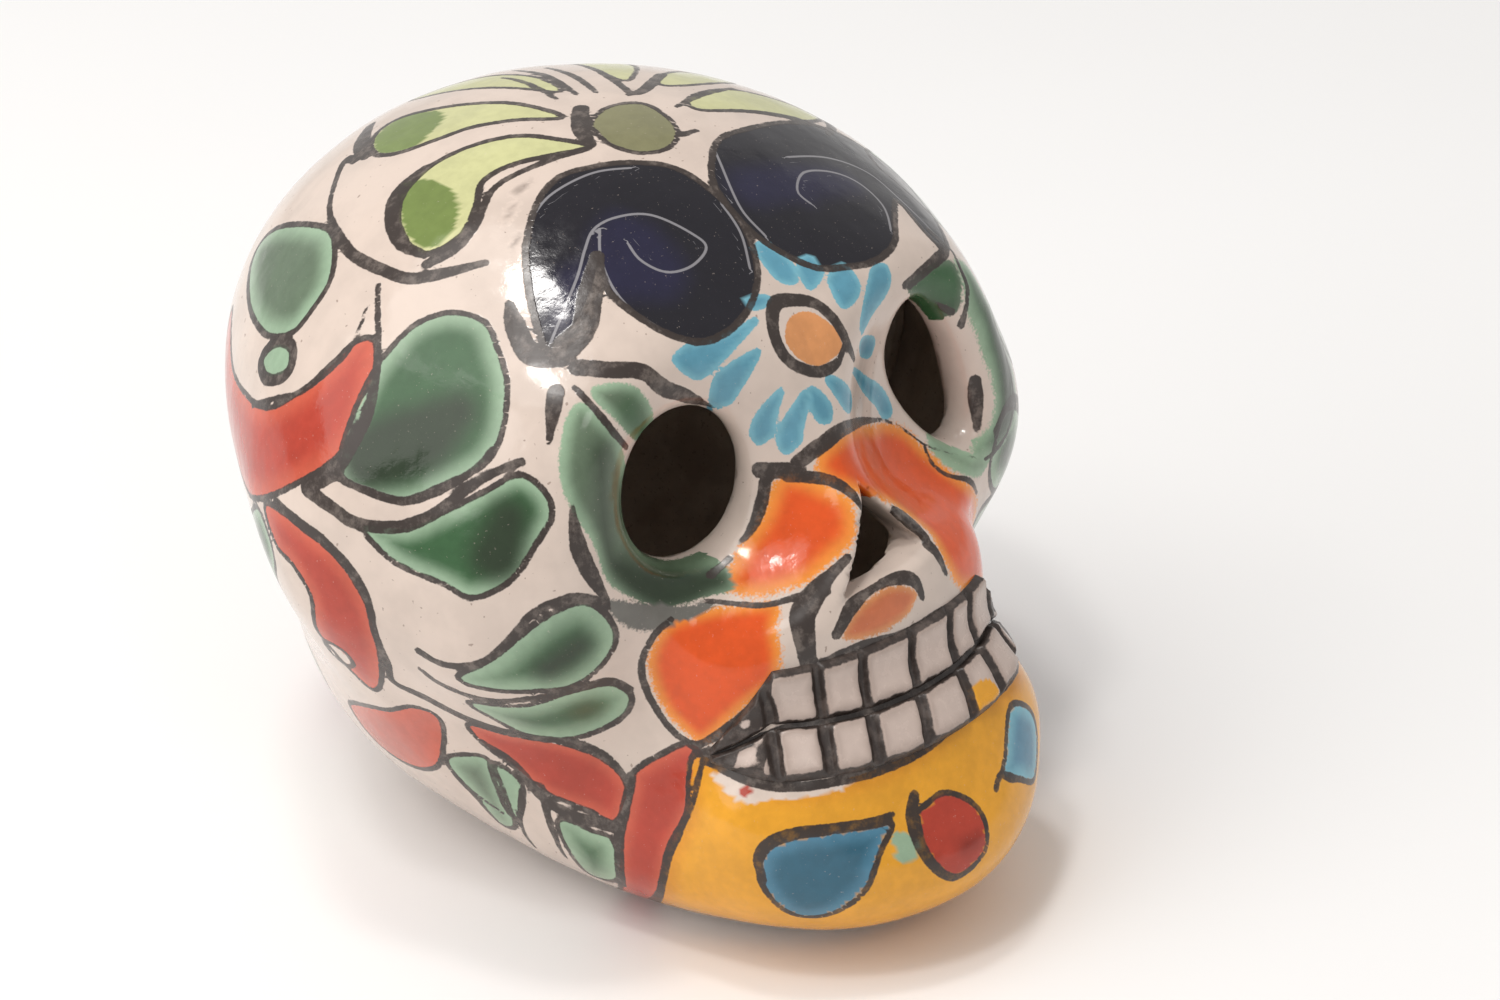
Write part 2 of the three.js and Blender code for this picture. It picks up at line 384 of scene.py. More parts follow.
def add_piece(name, mesh, material, node):
    mesh.materials.append(material)
    piece = new_object(name, mesh)
    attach(piece, "root")
    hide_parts(node)
    return piece


# ---- brushwork ----------------------------------------------------------------------------------
REACH = 3.0              # millimetres past a mark that its distance is still told apart
PAINT_DEPTH = 2.6        # the brush does not reach further down into an opening
HAIR_REACH = 1.5         # how far to each side of a hairline its distance is kept
TINT_REACH = 1.2         # a colour is kept this far outside its patch, for the ragged edge
POOL_FADE = (1.5, -3.5)  # a pool darkens from this far outside its mark to this far inside
PETAL_SWELL = 1.3        # glaze spreads past the brush mark of a small petal
BARE_FOOT = 0.9          # the glaze is wiped off below this height
BARE_DEPTH = 4.2         # and stops this far down the edges of the openings


@dataclass
class Patch:
    """A flat area of coloured glaze inside a closed outline."""
    outline: list                    # (turn, rise) round the patch
    edge: np.ndarray                 # colour where the glaze thins at its border
    body: np.ndarray                 # colour where it lies thick
    ramp: float = 2.5                # millimetres from the border to the full colour
    pool: tuple = ()                 # (turn, rise, radius) where darker glaze ran together
    pool_colour: np.ndarray = None
    border: float = 0.45             # half width of the brush line round it, 0 for none
    soft: float = 0.1                # half width of the glaze's own edge


@dataclass
class Stroke:
    """A mark of the black brush, or a scratched light hairline, which has no width."""
    path: list                       # (turn, rise, half width), or (turn, rise) of a hairline
    hair: bool = False


def directions(angles):
    turn, rise = np.radians(np.asarray(angles, float)).T
    flat = np.cos(rise)
    return np.stack([-np.sin(turn) * flat, -np.cos(turn) * flat, np.sin(rise)], 1)


def smooth_path(knots, closed, steps=6):
    """A Catmull-Rom curve through the knots; a single knot stays a spot."""
    if len(knots) == 1:
        return np.vstack([knots, knots])
    if closed:
        around = np.vstack([knots[-1:], knots, knots[:2]])
    else:
        around = np.vstack([knots[:1], knots, knots[-1:]])
    share = (np.arange(steps) / steps)[:, None, None]
    a, b, c, d = (around[i:len(around) - 3 + i] for i in range(4))
    curve = 0.5 * (2 * b + (c - a) * share + (2 * a - 5 * b + 4 * c - d) * share ** 2
                   + (3 * b - 3 * c + d - a) * share ** 3)
    curve = curve.transpose(1, 0, 2).reshape(-1, knots.shape[1])
    last = knots[:1] if closed else knots[-1:]
    return np.vstack([curve, last])


def skin_path(marks, closed):
    """The smooth line on the skin through (turn, rise) or (turn, rise, width) marks."""
    marks = np.asarray(marks, float)
    knots = np.hstack([directions(marks[:, :2]), marks[:, 2:]])
    curve = smooth_path(knots, closed)
    on_skin = cast(PAINT_CENTRE, unit(curve[:, :3]))
    return on_skin, curve[:, 3:].ravel()


def path_distance(points, path, widths):
    """Signed distance to a line of varying half width, and the side each point lies on."""
    start = path[:-1]
    along = path[1:] - start
    offset = points[:, None, :] - start
    share = (offset * along).sum(-1) / np.maximum((along ** 2).sum(-1), TINY)
    share = np.clip(share, 0, 1)[..., None]
    away = offset - share * along
    distance = np.linalg.norm(away, axis=-1)
    distance -= widths[:-1] + share[..., 0] * (widths[1:] - widths[:-1])
    nearest = distance.argmin(1)
    rows = np.arange(len(points))
    out = points - PAINT_CENTRE
    side = np.sign((np.cross(along[nearest], away[rows, nearest]) * out).sum(-1))
    return distance[rows, nearest], side


def inside_outline(points, outline):
    """Even-odd test on the points and the outline as both are seen from the paint centre."""
    ring = outline - PAINT_CENTRE
    middle = unit(unit(ring).mean(0))
    across = unit(ring[0] - middle * (ring[0] @ middle))
    axes = np.stack([across, np.cross(middle, across)], 1)
    rays = points - PAINT_CENTRE
    x, y = (rays @ axes / (rays @ middle)[:, None]).T[:, :, None]
    ring = ring @ axes / (ring @ middle)[:, None]
    x0, y0 = ring[:-1].T
    x1, y1 = ring[1:].T
    rise = np.where(y1 == y0, 1, y1 - y0)
    crossed = ((y0 > y) != (y1 > y)) & (x < x0 + (y - y0) * (x1 - x0) / rise)
    return crossed.sum(1) % 2 == 1


class Skin:
    """The glaze on one mesh, kept as numbers on its points and read by the material."""

    def __init__(self, points, base):
        count = len(points)
        self.points = points
        self.depth = -skin_field(points)
        self.colour = np.tile(base, (count, 1))
        self.fill = np.full(count, -REACH)
        self.soft = np.full(count, 0.1)
        self.line = np.full(count, -REACH)
        self.side = np.full(count, REACH)
        self.near = np.zeros(count)

    def within(self, path, margin):
        centre = path.mean(0)
        reach = np.linalg.norm(path - centre, axis=1).max() + margin
        close = np.linalg.norm(self.points - centre, axis=1) < reach
        facing = (self.points - PAINT_CENTRE) @ unit(centre - PAINT_CENTRE) > 0
        return np.flatnonzero(close & facing & (self.depth < PAINT_DEPTH + REACH))

    def lay(self, patch):
        path, _ = skin_path(patch.outline, closed=True)
        chosen = self.within(path, REACH)
        points = self.points[chosen]
        distance, _ = path_distance(points, path, np.zeros(len(path)))
        inside = np.where(inside_outline(points, path), distance, -distance)
        ramp = smooth_step(0, patch.ramp, inside)[:, None]
        inside = np.minimum(inside, PAINT_DEPTH - self.depth[chosen])
        colour = patch.edge + (patch.body - patch.edge) * ramp
        if patch.pool:
            pool, widths = skin_path(patch.pool, closed=False)
            away, _ = path_distance(points, pool, widths)
            share = smooth_step(*POOL_FADE, away)[:, None]
            colour = colour + (patch.pool_colour - colour) * share
        over = (inside > 0) | ((inside > -TINT_REACH) & (inside > self.fill[chosen]))
        self.colour[chosen[over]] = colour[over]
        self.soft[chosen[over]] = patch.soft
        self.fill[chosen] = np.maximum(self.fill[chosen], inside)
        if patch.border:
            line = patch.border - np.abs(inside + 0.6 * patch.border)
            self.line[chosen] = np.maximum(self.line[chosen], line)

    def draw(self, stroke):
        path, widths = skin_path(stroke.path, closed=False)
        chosen = self.within(path, REACH)
        points = self.points[chosen]
        if stroke.hair:
            distance, side = path_distance(points, path, np.zeros(len(path)))
            close = distance < np.minimum(HAIR_REACH, np.abs(self.side[chosen]))
            self.side[chosen[close]] = (distance * side)[close]
            self.near[chosen[close]] = smooth_step(HAIR_REACH, 1.0, distance[close])
            return
        distance, _ = path_distance(points, path, widths)
        line = np.minimum(-distance, PAINT_DEPTH - self.depth[chosen])
        self.line[chosen] = np.maximum(self.line[chosen], line)

    def apply(self, marks):
        for mark in marks:
            if isinstance(mark, Patch):
                self.lay(mark)
            else:
                self.draw(mark)

    def store(self, mesh):
        height = self.points[:, 2]
        bare = np.maximum(self.depth - BARE_DEPTH, BARE_FOOT - height)
        colours = np.hstack([self.colour, np.ones((len(self.colour), 1))])
        layer = mesh.attributes.new("glaze_colour", "FLOAT_COLOR", "POINT")
        layer.data.foreach_set("color", colours.astype(np.float32).ravel())
        numbers = {"fill_depth": self.fill, "fill_soft": self.soft, "line_depth": self.line,
                   "hair_side": self.side, "hair_near": self.near, "bare_clay": bare}
        for name, values in numbers.items():
            layer = mesh.attributes.new(name, "FLOAT", "POINT")
            layer.data.foreach_set("value", values.astype(np.float32))


def mirrored(marks):
    """The same marks on the other side of the face."""
    return [moved(mark, flip=True) for mark in marks]


def moved(mark, spin=0, lift=0, flip=False, stretch=1):
    """The mark stretched about the face's middle, flipped, turned round the skull, or raised."""
    def place(spot):
        turn = (-spot[0] if flip else spot[0]) * stretch
        return (turn + spin, spot[1] + lift) + tuple(spot[2:])

    if isinstance(mark, Stroke):
        return replace(mark, path=[place(spot) for spot in mark.path])
    return replace(mark, outline=[place(spot) for spot in mark.outline],
                   pool=tuple(place(spot) for spot in mark.pool))


def strokes(*paths):
    """One mark of the black brush for each path of (turn, rise, half width)."""
    return [Stroke(path) for path in paths]


def hairlines(*paths):
    """One scratched light line for each path of (turn, rise)."""
    return [Stroke(path, hair=True) for path in paths]


def petal(outline, border=0.4):
    """A yellow-green petal of the crown flower."""
    return Patch(outline, LIME, LIME, border=border)


def leaf(outline, ramp, pool, pool_colour=PINE, border=0.4):
    """A green leaf, pale at its border and nearly black where the glaze pooled."""
    return Patch(outline, MINT, EMERALD, ramp, pool, pool_colour, border)


def wash(outline, edge, body, ramp=2.5, **rest):
    """Coloured glaze with no brush line of its own round it."""
    return Patch(outline, edge, body, ramp, border=0, **rest)


def orange_glaze(outline, ramp):
    """The orange of the cheeks, which blurs into the white."""
    return wash(outline, AMBER, ORANGE, ramp, soft=0.55)


def red_glaze(outline, ramp, body=BRICK, border=0.42):
    """A red area that pales towards its border."""
    return Patch(outline, RUST, body, ramp, border=border)


# ---- what is painted: crown ---------------------------------------------------------------------
def crown_flower():
    heart = Patch([(127, 84), (-174, 84), (-127, 83), (-83, 84), (-36, 83), (1, 82), (33, 82),
        (68, 83), (95, 84)], AVOCADO, AVOCADO, border=0.4)
    near_petal = petal([(111, 53), (118, 57), (123, 64), (122, 72), (105, 78), (86, 80), (96, 75),
        (103, 69), (102, 64), (94, 60), (90, 55), (94, 50), (103, 51)], border=0.5)
    near_end = wash([(119, 54.5), (116, 58), (110, 59.5), (103, 60), (95, 57.5), (92, 54),
        (94.5, 50.8), (103, 51.2), (111, 53)], OLIVE, OLIVE, soft=0.3)
    back_petal = petal([(148, 50), (155, 52), (157, 60), (157, 68), (152, 75), (141, 79),
        (140, 72), (139, 66), (136, 61), (135, 56), (139, 52)], border=0.5)
    back_end = wash([(148, 50), (155, 52), (156.5, 57), (151, 60.5), (142, 60), (136, 58.5),
        (135, 56), (139, 52)], OLIVE, OLIVE, soft=0.3)
    slim_petals = [
        petal([(170, 48), (178, 51), (-177, 58), (-175, 66), (179, 74), (173, 67), (171, 59)]),
        petal([(-155, 52), (-147, 52), (-138, 61), (-141, 73), (-150, 68), (-153, 60)]),
        petal([(-126, 67), (-122, 58), (-113, 54), (-110, 60), (-113, 69), (-123, 73)]),
        petal([(-101, 75), (-103, 64), (-98, 56), (-93, 48), (-84, 56), (-83, 68), (-86, 77)]),
    ]
    return [heart, near_petal, near_end, back_petal, back_end] + slim_petals + strokes(
        [(163, 81, 1.2), (117, 82, 1.3), (86, 81, 0.9)],
        [(-36, 82, 0.6), (-50, 80, 0.4)],
        [(121, 59, 0.9), (116, 54, 1.4), (108, 51, 1.3), (100, 49.5, 1.0), (93, 50, 0.6)],
        [(91, 49, 0.8), (88, 53, 0.8), (89, 58, 0.7), (96, 65, 0.5), (92, 74, 0.5), (81, 80, 0.3)],
        [(159, 46, 0.9), (148, 48, 1.5), (140, 50, 0.8)],
        [(-171, 57, 0.3), (-171, 66, 0.6), (-178, 77, 0.4)],
        [(-164, 60, 0.4), (-163, 70, 0.6), (-165, 78, 0.4)],
        [(-154, 58, 0.4), (-150, 70, 0.6), (-140, 79, 0.6)],
        [(-179, 60, 0.3), (178, 68, 0.5), (168, 76, 0.4)],
        [(-142, 80, 0.4), (-130, 77, 0.9), (-127, 67, 0.8)],
        [(-95, 80, 0.4), (-101, 73, 0.5), (-104, 62, 0.4)],
        [(-83, 76, 0.3), (-83, 67, 0.5), (-84, 57, 0.4)],
    )


# ---- what is painted: forehead ------------------------------------------------------------------
def near_swirl():
    body = Patch([(74, 61), (78, 67), (78, 72), (68, 76), (43, 79), (11, 77), (1, 70), (0, 63),
        (4, 56), (10, 51), (18, 47), (26, 45), (33, 46), (40, 49), (47, 53), (51, 58), (52, 53),
        (54, 47), (57, 44), (58, 42), (64, 49), (70, 56)], INK, INK, pool=((47, 66, 3),
        (42, 60, 7), (36, 56, 5), (56, 54, 4), (57, 47, 3)), pool_colour=COBALT, border=0.5)
    smudges = (
        ([(91, 66), (89, 70), (86, 69), (85, 66), (88, 64.5)], 1.6),
        ([(86, 65), (83.5, 65), (81, 62), (81, 59), (83.5, 60), (86, 62.5)], 1.8),
        ([(77, 60), (74.5, 60), (74, 57), (75, 55.5), (77, 57)], 1.4),
    )
    greys = [wash(outline, CREAM, SMUDGE, ramp, soft=0.5) for outline, ramp in smudges]
    return greys + [body] + hairlines(
        [(58, 43), (57, 49), (56, 55), (56, 60), (55, 64), (48, 67), (34, 68), (20, 64), (17, 61),
         (24, 58), (32, 57), (39, 59), (43, 62)],
        [(53, 64), (51, 59), (47, 54), (42, 50), (36, 47)],
        [(1, 68), (2, 62), (6, 56)],
        [(76, 63), (76, 68), (66, 75), (43, 78)],
    ) + strokes(
        [(52, 59, 1.0), (52, 52, 1.7), (52, 46, 1.7), (55, 41, 1.2)],
        [(55, 41, 1.2), (61, 41, 1.5), (66, 45, 1.4), (69, 48, 0.6)],
        [(55, 36, 1.2), (55, 33, 1.0), (55, 29, 0.3)],
    )


def far_swirl():
    body = Patch([(-17, 75), (-45, 76), (-66, 70), (-78, 61), (-83, 51), (-82, 43), (-76, 37),
        (-62, 36), (-50, 36), (-50, 40), (-57, 45), (-47, 46), (-38, 45), (-29, 46), (-20, 49),
        (-13, 52), (-6, 58), (-2, 64), (-4, 71)], INK, INK, pool=((-34, 61, 3), (-44, 60, 4),
        (-52, 55, 4), (-20, 68, 5)), pool_colour=COBALT, border=0.5)
    return [body] + hairlines(
        [(-28, 76), (-10, 70), (-5, 65), (-6, 60)],
        [(-32, 59), (-34, 62), (-46, 62), (-54, 57), (-55, 52), (-50, 48), (-42, 46)],
        [(-51, 65), (-62, 57), (-64, 49), (-58, 44), (-53, 39)],
    ) + strokes(
        [(-50, 36, 0.6), (-41, 38, 0.6), (-34, 39, 0.5)],
    )


FLOWER_PETALS = (
    ((-2, 58, 1.4), (-4, 53, 1.9)),
    ((-12, 52, 1.9), (-9, 50, 1.4)),
    ((-18, 47, 2.3), (-15, 45, 2.0)),
    ((-28, 43, 2.0), (-21, 41, 1.4), (-17, 39, 0.8)),
    ((-17, 36, 1.2), (-24, 34, 1.2)),
    ((-12, 33, 0.6), (-26, 25, 1.7), (-29, 20, 1.9)),
    ((-2, 34, 0.8), (-7, 29, 1.7)),
    ((3, 33, 1.1), (1, 29, 1.6)),
    ((5, 33, 0.9), (8, 29, 1.7), (9, 26, 1.7)),
    ((10, 35, 0.6), (13, 32, 1.5), (14, 29, 1.8)),
    ((14, 42, 0.6), (20, 39, 1.8), (23, 37, 2.0)),
    ((12, 47, 0.5), (21, 44, 1.2), (28, 42, 2.1), (31, 42, 1.7)),
    ((11, 50, 1.1), (6, 50, 0.8)),
)


def petal_outline(path):
    """A closed outline round a short brush mark that swells along its path."""
    marks = np.asarray(path, float)
    heading = np.gradient(marks[:, :2], axis=0)
    narrow = np.cos(np.radians(marks[:, 1]))
    heading[:, 0] *= narrow
    heading = unit(heading)
    swell = marks[:, 2:] * PETAL_SWELL
    across = np.stack([-heading[:, 1] / narrow, heading[:, 0]], 1) * swell
    tip = np.stack([heading[:, 0] / narrow, heading[:, 1]], 1) * swell
    left = (marks[:, :2] + across).tolist()
    right = (marks[:, :2] - across).tolist()
    first = (marks[0, :2] - tip[0]).tolist()
    last = (marks[-1, :2] + tip[-1]).tolist()
    return [first] + left + [last] + right[::-1]


def small_flower():
    petals = [wash(petal_outline(path), SKY_PALE, SKY, ramp=1.2) for path in FLOWER_PETALS]
    heart = wash([(5, 44), (2, 46), (-3, 46), (-6, 44), (-8, 41), (-8, 38), (-4, 37), (0, 37),
        (4, 39), (6, 42)], PEACH, PEACH, ramp=1.5)
    return petals + [heart] + strokes(
        [(-9, 38, 0.4), (-5, 36, 0.7), (0, 36, 0.8), (5, 38, 0.8), (8, 41, 0.9), (8, 45, 1.0),
         (4, 49, 1.1), (-3, 48, 0.9), (-7, 46, 0.8), (-9, 42, 0.8), (-10, 38, 0.8),
         (-12, 35, 0.4)],
    )


# ---- what is painted: eyes ----------------------------------------------------------------------
def near_eye():
    return [
        wash([(49, 37), (46, 38), (42, 38), (39, 36), (38, 33), (41, 30), (45, 33), (48, 35)],
            MINT, SAGE, ramp=2, pool=((42, 34, 3), (41, 32, 3)), pool_colour=EMERALD, soft=0.2),
        wash([(52, 34), (50, 35), (47, 33), (44, 30), (43, 24), (42, 17), (40, 12), (36, 9),
            (31, 7), (27, 7), (24, 3), (30, 2), (37, 2), (42, 5), (46, 9), (48, 15), (51, 20),
            (53, 25), (53, 31)], MINT, SAGE, ramp=2.5, pool=((47, 28, 2), (46, 14, 2),
            (43, 9, 3.5), (38, 5, 4.5), (33, 4, 4.5), (27, 4, 3)), pool_colour=PINE, soft=0.2),
        # Painted shade: a grey band below the eye opening, standing in for the shade there.
        wash([(46, 6), (41, 4), (34, 1.5), (28, 1.5), (31, 0), (38, -1), (42, 0), (45, 3)], UNDER_EYE_SHADE,
            UNDER_EYE_SHADE, soft=0.3),
    ] + strokes(
        [(52, 37, 0.4), (48, 34, 0.5), (45, 31, 0.5), (43, 29, 0.4)],
        [(52, 40, 1.2), (46, 40, 1.2), (40, 40, 1.1), (36, 38, 1.1), (31, 37, 1.0), (24, 34, 0.6),
         (17, 29, 0.2)],
        [(51, 21, 0.2), (50, 15, 1.2), (48, 10, 1.1), (46, 6, 0.4)],
    )


def far_eye():
    return [
        wash([(-35, 38), (-37, 38.5), (-41, 38), (-45, 36.5), (-48, 34.5), (-47.5, 32),
            (-46.5, 30), (-45, 27.5), (-42, 29.5), (-39, 33)], SAGE, EMERALD, ramp=1.5,
            pool=((-40, 33, 1), (-44, 29, 1.5)), pool_colour=PINE, soft=0.2),
        wash([(-49, 34), (-53, 30.5), (-53, 26), (-56, 19), (-57.5, 12), (-56, 7), (-54, 3),
            (-49.5, 1.5), (-44.5, 1.5), (-41, 2.5), (-41, 4.5), (-42.5, 5.5), (-45.5, 7),
            (-47.3, 10), (-47.8, 14), (-47.5, 18), (-47.3, 22), (-46.5, 26), (-47, 30)], MINT,
            EMERALD, ramp=4, pool=((-50.5, 28, 1), (-52, 19, 2.5), (-52.5, 12, 4), (-51, 6, 4),
            (-46, 3, 2)), pool_colour=PINE, soft=0.5),
        wash([(-37, 10.5), (-34.5, 8), (-35.5, 3.5), (-40, -0.5), (-43, -0.5), (-44.5, 1.5),
            (-40.5, 4), (-39, 7)], MINT, SAGE, ramp=4, soft=0.3),
    ] + strokes(
        [(-35.5, 38, 0.5), (-41.5, 37.5, 0.75), (-49.5, 36, 0.8), (-52, 39, 0.8)],
        [(-37, 36, 0.2), (-41, 32.5, 0.4), (-44.5, 28, 0.6)],
        [(-51.5, 34.5, 0.35), (-49, 32.5, 0.45), (-48, 29.5, 0.5), (-46.5, 27, 0.45),
         (-45.5, 25, 0.7)],
        [(-54, 20, 0.2), (-54.5, 10, 0.35), (-53, 5, 0.4), (-50, 2.5, 0.4), (-46, 1.5, 0.45),
         (-43, 1.5, 0.3)],
        [(-45.6, 14.5, 1.1), (-45, 12.4, 1.45), (-44.2, 10, 1.35), (-43.2, 7.3, 0.9)],
        [(-34, 9, 0.2), (-33, 6, 0.3), (-34, 3, 0.3), (-38, 0, 0.4), (-41, -4, 0.3)],
    )


# ---- what is painted: cheeks, nose and mouth ----------------------------------------------------
def cheeks():
    return [
        orange_glaze([(12, 20), (8, 20), (4, 17), (1.5, 14), (2, 11), (4, 8), (8, 6), (12, 4),
            (15, 3), (20, 2), (24, 2), (27, 3), (24, 6), (20, 10), (16, 14)], 3.5),
        orange_glaze([(40, -8), (39, -3), (36, 0), (31, 0.5), (25, 1), (19, 1), (20, -2), (20, -5),
            (21, -9), (25, -12), (28, -15), (32, -19), (35, -18), (38, -15)], 2.5),
        orange_glaze([(5, 21), (1, 24), (-10, 24), (-21, 20), (-27, 18), (-32, 14), (-34, 8),
            (-36, 2), (-42, -6), (-42, -13), (-30, -12), (-24, -11), (-20, -9), (-15, -6),
            (-13, -1), (-13, 3), (-10, 8), (-6, 11), (1, 15), (4, 17)], 3),
    ] + strokes(
        [(15, 22, 1.2), (10, 21, 1.2)],
        [(10, 20, 0.9), (4, 18, 0.8), (1, 15, 0.7), (0, 12, 0.4)],
        [(14, 20, 0.9), (16, 15, 0.9), (19, 11, 0.7), (22, 9, 0.5)],
        [(24, 7, 0.7), (28, 5, 0.8)],
        [(36, 0, 0.4), (39, -2, 0.5), (41, -7, 0.5), (40, -13, 0.5), (38, -17, 0.5),
         (36, -19, 0.5), (33, -20, 0.5)],
        [(30, 1.5, 0.3), (24, 1, 0.4), (20, 1, 0.4), (15, 2, 0.4), (11, 2, 0.4)],
        [(8, 22, 1.0), (3, 24, 1.2), (-4, 25, 1.0), (-21, 21, 0.4), (-30, 16, 0.15), (-35, 8, 0.1),
         (-42, 2, 0.05)],
    )


def nose_and_lip():
    return [
        wash([(10, -5), (9, -3), (6, -1), (1, 0), (-3, -1), (-5, -3), (-3, -5), (1, -6), (6, -6)],
            PEACH, CLAY_RED, ramp=1.5, soft=0.35),
    ] + strokes(
        [(6, 6, 0.6), (10, 4, 0.9), (13, 2, 1.6), (16, -1, 1.8), (16, -7, 1.3)],
        [(-3, 12, 0.4), (-6.5, 9.5, 0.9), (-10, 6.5, 1.2), (-11.5, 2, 1.0), (-12.5, -3, 0.4)],
        [(11, -4, 0.8), (8, -1, 1.1), (4, 1, 1.2), (-1, 1, 1.2), (-5, -1, 0.9), (-6, -4, 0.5)],
        [(32, -19, 0.5), (26, -14, 0.9), (21, -10, 1.0), (14, -8, 1.0), (7, -7, 0.9),
         (-1, -8, 0.9), (-10, -8, 0.9), (-20, -10, 0.9), (-27, -14, 0.8), (-33, -19, 0.5)],
        [(32, -20, 0.6), (23, -16, 0.8), (16, -14.7, 0.8), (9, -14.2, 0.8), (0, -14.4, 0.8),
         (-9, -14.5, 0.8), (-20, -15.5, 0.8), (-33, -20, 0.6)],
    )


def chin():
    return [
        Patch([(33, -21), (28, -20.2), (23, -19.5), (10, -18.7), (-4, -17.5), (-10, -17.5),
            (-22, -19.5), (-33, -21), (-35, -27), (-38, -33), (-39, -40), (-39, -48), (-30, -46),
            (-15, -43), (0, -42), (15, -43), (30, -46), (39, -48), (38.5, -40), (37.5, -33),
            (34.5, -27)], HONEY, YELLOW, ramp=4, border=0.4),
        wash([(31, -21.8), (29, -22), (27, -21.6), (24, -20.6), (20, -20.2), (14, -19.6),
            (14, -19), (21, -19.2), (24, -19.2), (28, -20)], CREAM, CREAM, soft=0.3),
        wash([(28, -21.1), (27, -20.4), (26.5, -20.6), (27.5, -21.4)], BRICK, BRICK, soft=0.2),
        Patch([(26, -29), (26, -26.5), (24.7, -24.7), (22, -23.7), (19, -23.3), (15.5, -23.2),
            (12, -23.2), (10, -23.2), (11.7, -24.7), (13, -26.2), (14.3, -28.2), (16.2, -30.2),
            (18.5, -32.2), (21.2, -33), (24, -31.7)], POND_PALE, POND, ramp=3, border=0.42),
        wash([(10, -24), (8, -24), (7, -25), (8, -26), (10, -26)], MINT, MINT),
        Patch([(6, -23), (4.5, -22.5), (2, -22.2), (-0.5, -23), (-2.2, -24.2), (-2.5, -25.5),
            (-1.7, -27), (0, -27.7), (2.7, -28.2), (5, -27), (6.3, -25.2)], BRICK, BRICK,
            pool=((1, -26, 1.4), (-1, -26, 1.2)), pool_colour=WINE, border=0.42),
        Patch([(-15, -20.2), (-17.2, -20.5), (-19.7, -22), (-20.5, -23.7), (-19.5, -25.7),
            (-16.5, -27.2), (-12.2, -25.2), (-9, -23.7), (-10.7, -22.7), (-12.7, -21.2)], SKY_PALE,
            POND_PALE, ramp=3, border=0.42),
    ] + strokes(
        [(26, -29, 0.6), (26.5, -26, 0.7), (24.5, -24, 0.8), (21, -23, 0.8), (16.5, -22.8, 0.7),
         (12.7, -22.8, 0.7), (9.5, -22.5, 0.5)],
        [(6, -21.5, 0.8), (7, -23, 1.0), (7, -25, 0.9), (5.5, -27, 0.7), (3, -28.5, 0.5),
         (0, -28, 0.4)],
        [(-6.5, -24, 0.5), (-8, -23.5, 0.5), (-9.2, -23.7, 0.4), (-12.2, -25.2, 0.3)],
        [(32, -21, 0.4), (27.7, -20.2, 0.6), (23, -19.6, 0.6), (17, -19.2, 0.6), (10, -18.9, 0.6),
         (2, -18.5, 0.6), (-4, -18, 0.6), (-10, -18, 0.6), (-20, -19, 0.5), (-28, -20.5, 0.5),
         (-33, -21, 0.4)],
    )


# ---- what is painted: the sides, once for each side ---------------------------------------------
def side_leaves():
    return [
        leaf([(86, 19), (87, 26), (87, 32), (86, 37), (84, 41), (79, 44), (72, 44), (67, 40),
            (64, 36), (63, 30), (65, 25), (71, 21), (76, 18), (81, 18)], 3.5, ((71, 31, 4),
            (76, 26, 6), (82, 22, 6))),
        leaf([(81, 13), (75, 14), (70, 17), (64, 21), (59, 24), (55, 22), (54, 19), (56, 15),
            (59, 10), (64, 7), (68, 8), (75, 9), (79, 11)], 3, ((60, 18, 4), (61, 13, 5))),
        leaf([(67, -7), (61, -2), (57, 2), (53, 5), (49, 6), (46, 3), (45, -1), (47, -5), (51, -8),
            (56, -8), (61, -8)], 5, ((50, -1, 3), (54, -4, 3)), border=0.45),
        leaf([(67, -13), (58, -12), (52, -10), (46, -10), (43, -13), (44, -17), (48, -20),
            (54, -22), (60, -21), (64, -17)], 5, ((50, -15, 3),), pool_colour=MOSS, border=0.45),
    ] + strokes(
        [(87, 18, 0.4), (81, 17.5, 0.5), (76, 17.5, 0.5), (71, 20, 0.5), (66, 24, 0.5),
         (64, 27, 0.4)],
        [(91, 15, 1.1), (86, 14, 0.9), (82, 13, 0.9), (76, 14, 0.9), (71, 17, 0.8), (67, 21, 0.7),
         (63, 24, 0.6), (59, 26, 0.6)],
        [(73, -4, 0.7), (69, -5, 0.6), (63, -3, 0.6), (59, 1, 0.6), (56, 5, 0.6), (52, 7, 0.6),
         (49, 7, 0.6), (46, 5, 0.6)],
        [(74, -8, 0.5), (71, -10, 0.6), (64, -11, 0.6), (57, -10, 0.6), (50, -9, 0.6),
         (46, -9, 0.6), (43, -12, 0.7)],
    )


